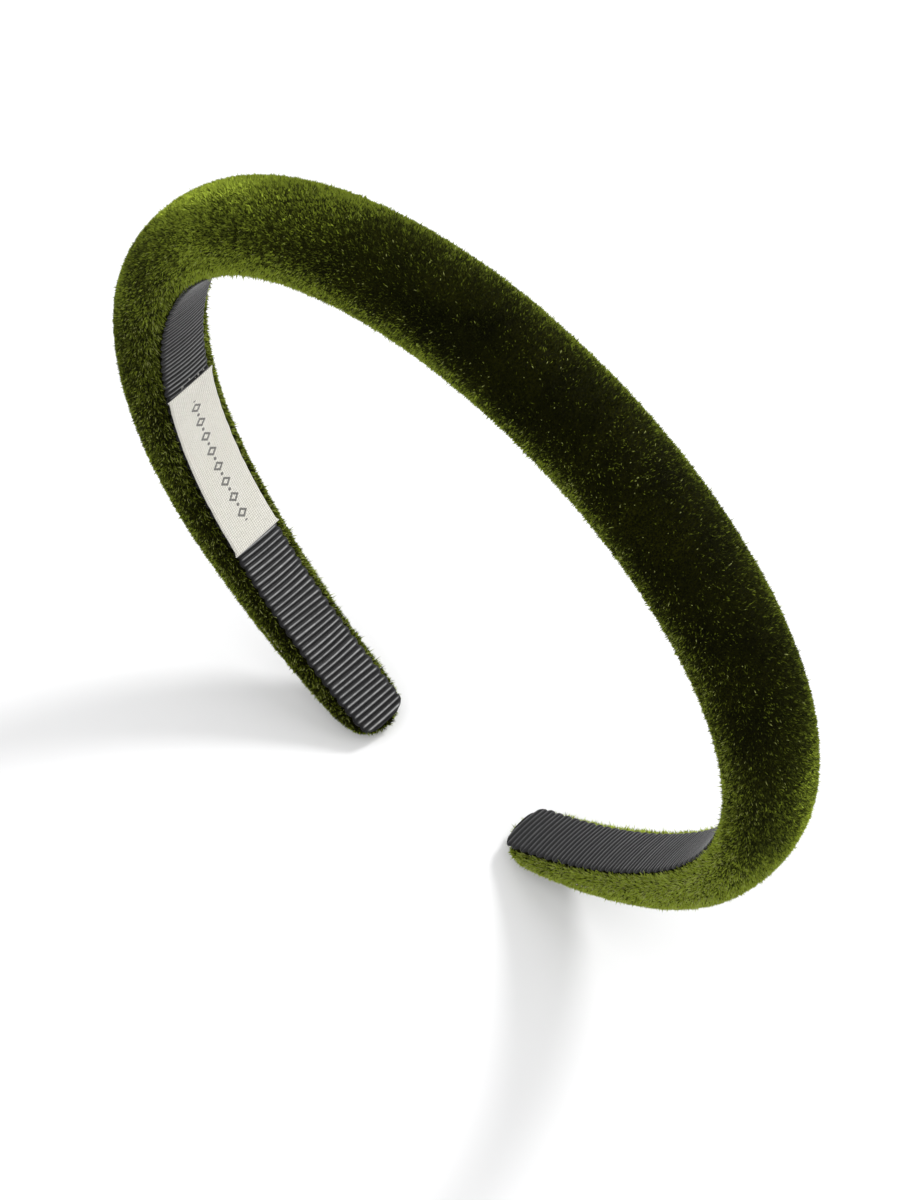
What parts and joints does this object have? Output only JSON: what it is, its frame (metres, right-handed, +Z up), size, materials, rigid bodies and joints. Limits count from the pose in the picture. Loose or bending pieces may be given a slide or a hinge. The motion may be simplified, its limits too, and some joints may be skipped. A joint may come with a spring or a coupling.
{
  "type": "padded headband",
  "caption": "Springy padded velvet hair band with curled tapered arms, a ribbed ribbon lining and a woven label; its arms spread apart to clip over a head.",
  "frame": {"origin": "on the ground under the crown, midway between the arms", "axes": "+Z up through the crown, +X towards the plain arm (the label is on the -X arm), Y across the band"},
  "size_m": [0.151, 0.0196, 0.1504],
  "materials": {
    "velvet": "deep olive green pile velvet",
    "grosgrain": "charcoal ribbed grosgrain",
    "label_cotton": "undyed woven cotton",
    "core_plastic": "satin moulded strip",
    "foam": "open-cell foam",
    "adhesive": "clear glue film"
  },
  "bodies": {
    "left_arm": {"core_strip_left": "core_plastic", "foam_tape_left": "adhesive", "foam_pad_left": "foam", "velvet_cover_left": "velvet", "lining_glue_left": "adhesive", "grosgrain_lining_left": "grosgrain", "label_glue": "adhesive", "woven_label": "label_cotton"},
    "right_arm": {"core_strip_right": "core_plastic", "foam_tape_right": "adhesive", "foam_pad_right": "foam", "velvet_cover_right": "velvet", "lining_glue_right": "adhesive", "grosgrain_lining_right": "grosgrain"}
  },
  "joints": [
    {"name": "crown_flex", "type": "hinge", "parent": "left_arm", "child": "right_arm", "pos_m": [0, 0, 0.15042], "axis": [0, -1, 0], "range_deg": [0, 35], "stiffness_Nm_per_rad": 0.6}
  ]
}
